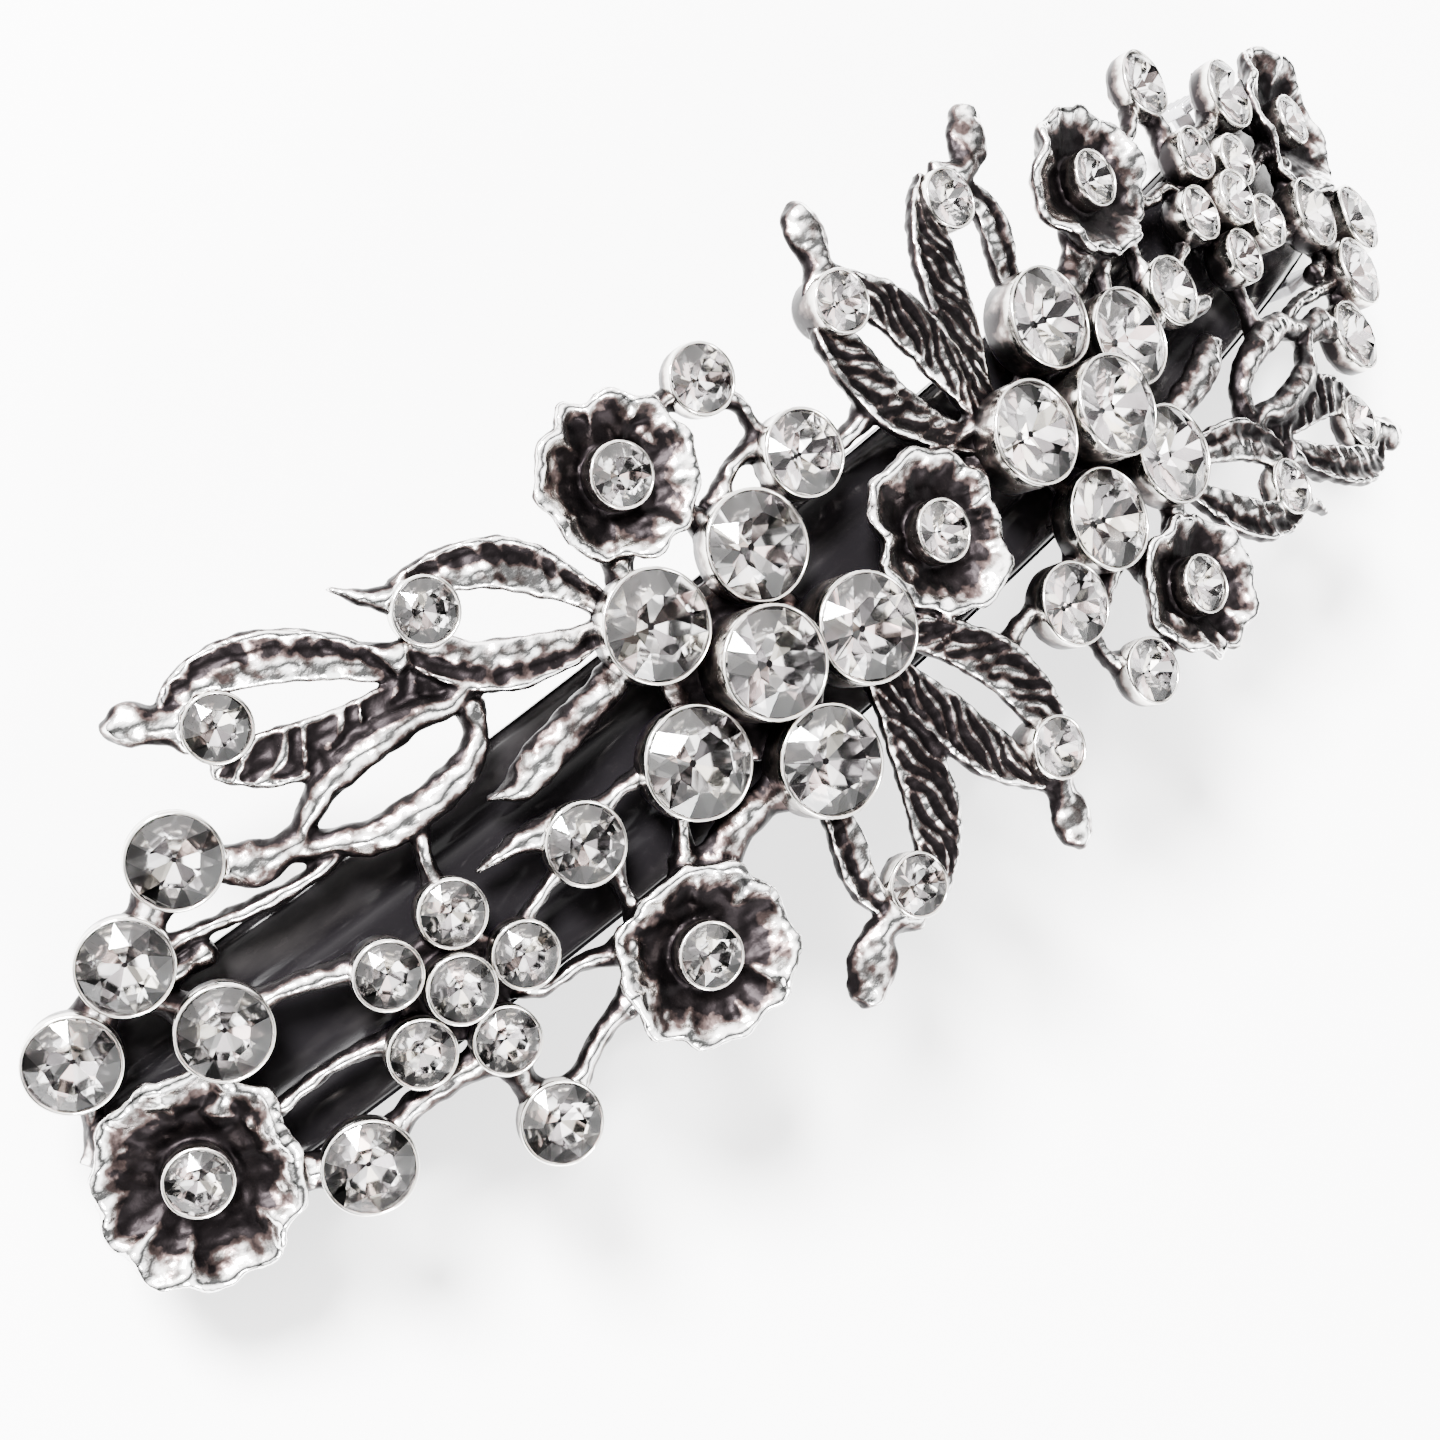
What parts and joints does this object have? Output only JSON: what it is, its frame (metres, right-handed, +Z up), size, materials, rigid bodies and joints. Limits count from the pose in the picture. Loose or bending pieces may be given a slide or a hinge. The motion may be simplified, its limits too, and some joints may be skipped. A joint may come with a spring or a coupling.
{
  "type": "hair barrette",
  "caption": "Arched openwork hair clip with flowers, looped leaves and round stones in cups on a lacquered spring clasp with a hinged arm and squeeze catch.",
  "frame": {"origin": "on the ground under the middle of the closed clip, which lies on its hinge ears and end wall", "axes": "+X along the clip towards the catch, +Y across it, +Z up through the crown of the arch"},
  "size_m": [0.0946, 0.0326, 0.0189],
  "materials": {
    "antique_silver": "cast metal with polished high edges and dark oxidised hollows",
    "crystal_big": "clear foil-backed cut glass",
    "crystal_round": "clear foil-backed cut glass",
    "crystal_small": "clear foil-backed cut glass",
    "black_lacquer": "glossy black lacquer",
    "nickel_steel": "nickel-plated sheet steel",
    "spring_steel": "grey spring steel",
    "pin_steel": "bright drawn steel"
  },
  "bodies": {
    "frame": {"casting": "antique_silver", "back_plate": "black_lacquer", "hinge_pin": "pin_steel", "rivet_near": "pin_steel", "rivet_far": "pin_steel", "stone_big_0_a": "crystal_big", "stone_big_0_b": "crystal_big", "stone_big_1_a": "crystal_big", "stone_big_1_b": "crystal_big", "stone_big_2_a": "crystal_big", "stone_big_2_b": "crystal_big", "stone_big_3_a": "crystal_big", "stone_big_3_b": "crystal_big", "stone_big_4_a": "crystal_big", "stone_big_4_b": "crystal_big", "stone_big_5_a": "crystal_big", "stone_big_5_b": "crystal_big", "stone_corner_a": "crystal_round", "stone_corner_b": "crystal_round", "stone_edge_a": "crystal_round", "stone_edge_b": "crystal_round", "stone_inner_a": "crystal_round", "stone_inner_b": "crystal_round", "stone_leaf_1_a": "crystal_small", "stone_leaf_1_b": "crystal_small", "stone_leaf_2_a": "crystal_small", "stone_leaf_2_b": "crystal_small", "stone_leaf_3_a": "crystal_small", "stone_leaf_3_b": "crystal_small", "stone_leaf_4_a": "crystal_small", "stone_leaf_4_b": "crystal_small", "stone_shoulder_1_a": "crystal_round", "stone_shoulder_1_b": "crystal_round", "stone_shoulder_2_a": "crystal_round", "stone_shoulder_2_b": "crystal_round", "stone_shoulder_3_a": "crystal_round", "stone_shoulder_3_b": "crystal_round", "stone_small_0_a": "crystal_small", "stone_small_0_b": "crystal_small", "stone_small_1_a": "crystal_small", "stone_small_1_b": "crystal_small", "stone_small_2_a": "crystal_small", "stone_small_2_b": "crystal_small", "stone_small_3_a": "crystal_small", "stone_small_3_b": "crystal_small", "stone_small_4_a": "crystal_small", "stone_small_4_b": "crystal_small", "stone_small_5_a": "crystal_small", "stone_small_5_b": "crystal_small", "stone_twig_a": "crystal_round", "stone_twig_b": "crystal_round", "stone_vine_1_a": "crystal_round", "stone_vine_1_b": "crystal_round", "stone_vine_2_a": "crystal_round", "stone_vine_2_b": "crystal_round"},
    "arm": {"clasp_arm": "nickel_steel", "catch_loop": "nickel_steel"},
    "bow": {"tension_bow": "spring_steel"},
    "lug_front": {"catch_lug_front": "spring_steel"},
    "lug_back": {"catch_lug_back": "spring_steel"}
  },
  "joints": [
    {"name": "arm_hinge", "type": "hinge", "parent": "frame", "child": "arm", "pos_m": [-0.042, 0, 0.0019], "axis": [0, 1, 0], "range_deg": [0, 100]},
    {"name": "bow_press", "type": "slide", "parent": "frame", "child": "bow", "axis": [0, 0, 1], "range_m": [0, 0.0009], "stiffness_N_per_m": 400},
    {"name": "lug_front_squeeze", "type": "slide", "parent": "frame", "child": "lug_front", "axis": [0, -1, 0], "range_m": [0, 0.0005], "stiffness_N_per_m": 600},
    {"name": "lug_back_squeeze", "type": "slide", "parent": "frame", "child": "lug_back", "axis": [0, 1, 0], "range_m": [0, 0.0005], "stiffness_N_per_m": 600}
  ],
  "couplings": [
    {"joint": "lug_back_squeeze", "follows": "lug_front_squeeze", "ratio": 1}
  ]
}
